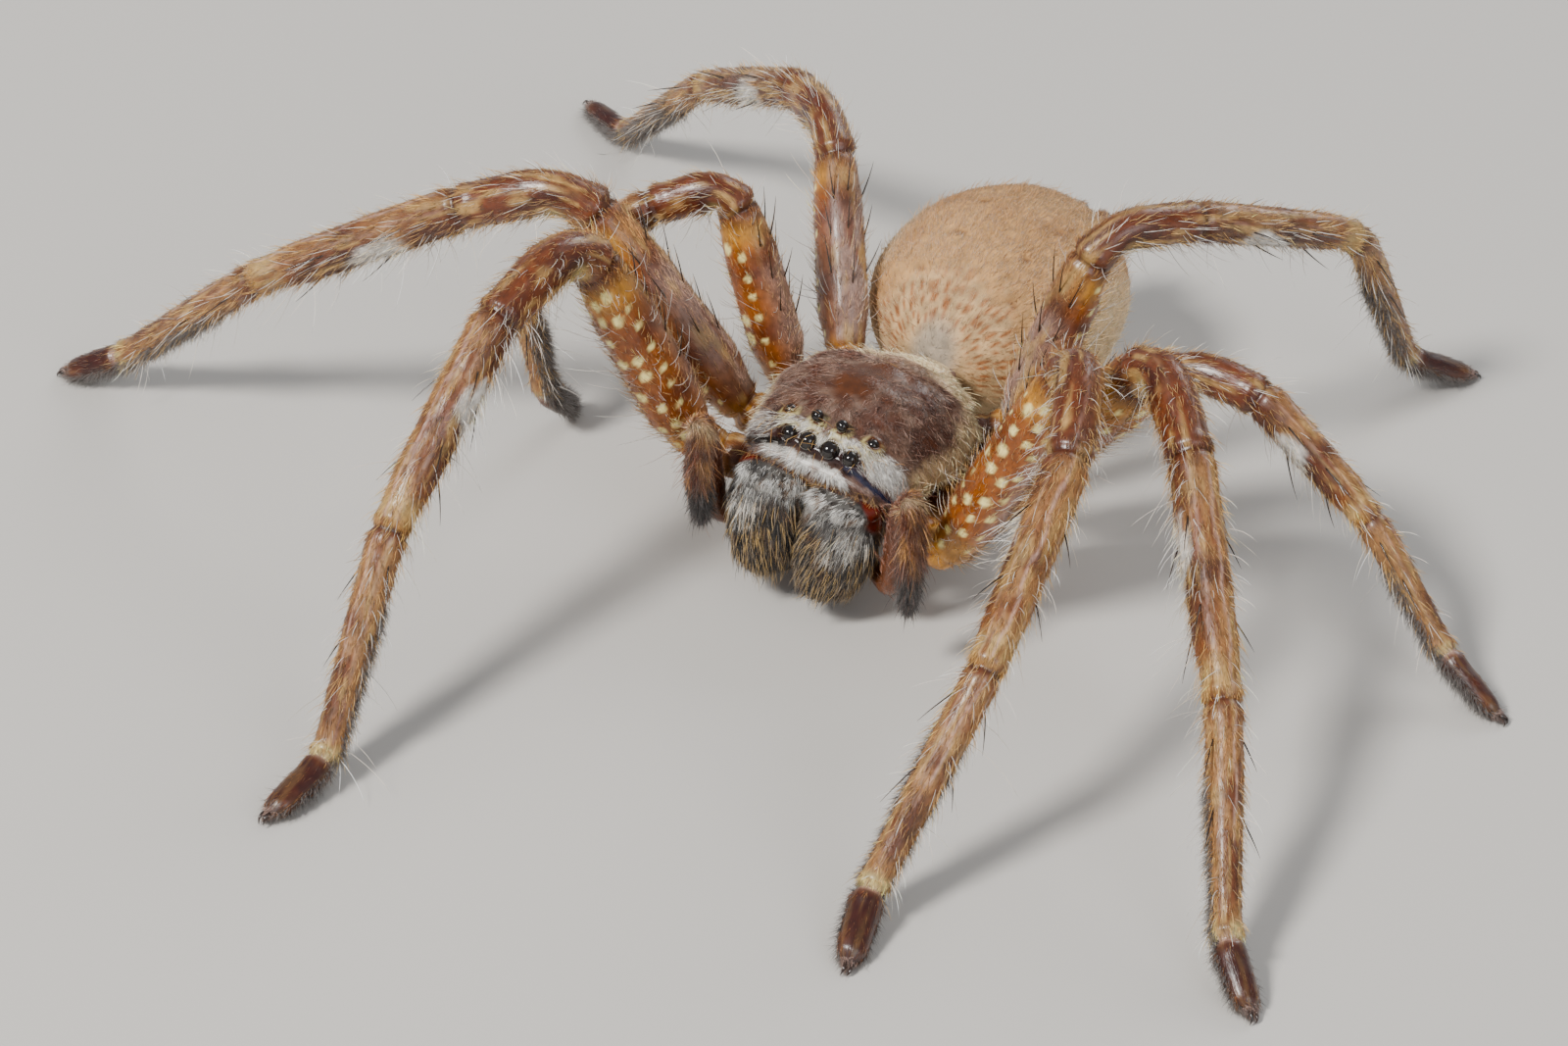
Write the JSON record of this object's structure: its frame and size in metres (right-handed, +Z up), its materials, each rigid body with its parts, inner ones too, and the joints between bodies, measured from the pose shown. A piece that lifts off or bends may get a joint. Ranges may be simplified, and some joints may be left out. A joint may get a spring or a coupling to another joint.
{
  "type": "rain spider",
  "caption": "Life-size still model of a brown huntsman-type rain spider standing with raised knees, spotted orange thighs, hairy legs and a round buff abdomen",
  "frame": {"origin": "on the floor, under the middle of the leg span's box", "axes": "+Z up; the spider's nose points along -Y and her left side is +X"},
  "size_m": [0.0748, 0.0642, 0.0192],
  "materials": {
    "shell": "mahogany shell with short grey-brown hairs",
    "leg_hide": "red-brown hide with tan hairs",
    "amber_hide": "glossy orange-brown with pale yellow spots",
    "tan_hair": "matt tan hair",
    "dark_hair": "dark brush of hair",
    "face_hair": "grizzled grey, white and black bristles",
    "velvet": "short buff velvet",
    "eye": "black, wet gloss",
    "horn": "black-brown horn"
  },
  "bodies": {
    "root": {"carapace": "shell", "sternum": "leg_hide", "abdomen": "velvet", "spinnerets": "dark_hair", "eye_front_middle_left": "eye", "eye_front_middle_right": "eye", "eye_front_outer_left": "eye", "eye_front_outer_right": "eye", "eye_rear_middle_left": "eye", "eye_rear_middle_right": "eye", "eye_rear_outer_left": "eye", "eye_rear_outer_right": "eye", "chelicera_left": "face_hair", "fang_left": "horn", "palp_base_left": "leg_hide", "palp_foot_left": "dark_hair", "chelicera_right": "face_hair", "fang_right": "horn", "palp_base_right": "leg_hide", "palp_foot_right": "dark_hair", "leg_left_1_femur": "amber_hide", "leg_left_1_patella": "leg_hide", "leg_left_1_tibia": "leg_hide", "leg_left_1_metatarsus": "tan_hair", "leg_left_1_tarsus": "dark_hair", "leg_left_2_femur": "amber_hide", "leg_left_2_patella": "leg_hide", "leg_left_2_tibia": "leg_hide", "leg_left_2_metatarsus": "tan_hair", "leg_left_2_tarsus": "dark_hair", "leg_left_3_femur": "amber_hide", "leg_left_3_patella": "leg_hide", "leg_left_3_tibia": "leg_hide", "leg_left_3_metatarsus": "tan_hair", "leg_left_3_tarsus": "dark_hair", "leg_left_4_femur": "amber_hide", "leg_left_4_patella": "leg_hide", "leg_left_4_tibia": "leg_hide", "leg_left_4_metatarsus": "tan_hair", "leg_left_4_tarsus": "dark_hair", "leg_right_1_femur": "amber_hide", "leg_right_1_patella": "leg_hide", "leg_right_1_tibia": "leg_hide", "leg_right_1_metatarsus": "tan_hair", "leg_right_1_tarsus": "dark_hair", "leg_right_2_femur": "amber_hide", "leg_right_2_patella": "leg_hide", "leg_right_2_tibia": "leg_hide", "leg_right_2_metatarsus": "tan_hair", "leg_right_2_tarsus": "dark_hair", "leg_right_3_femur": "amber_hide", "leg_right_3_patella": "leg_hide", "leg_right_3_tibia": "leg_hide", "leg_right_3_metatarsus": "tan_hair", "leg_right_3_tarsus": "dark_hair", "leg_right_4_femur": "amber_hide", "leg_right_4_patella": "leg_hide", "leg_right_4_tibia": "leg_hide", "leg_right_4_metatarsus": "tan_hair", "leg_right_4_tarsus": "dark_hair"}
  },
  "joints": []
}
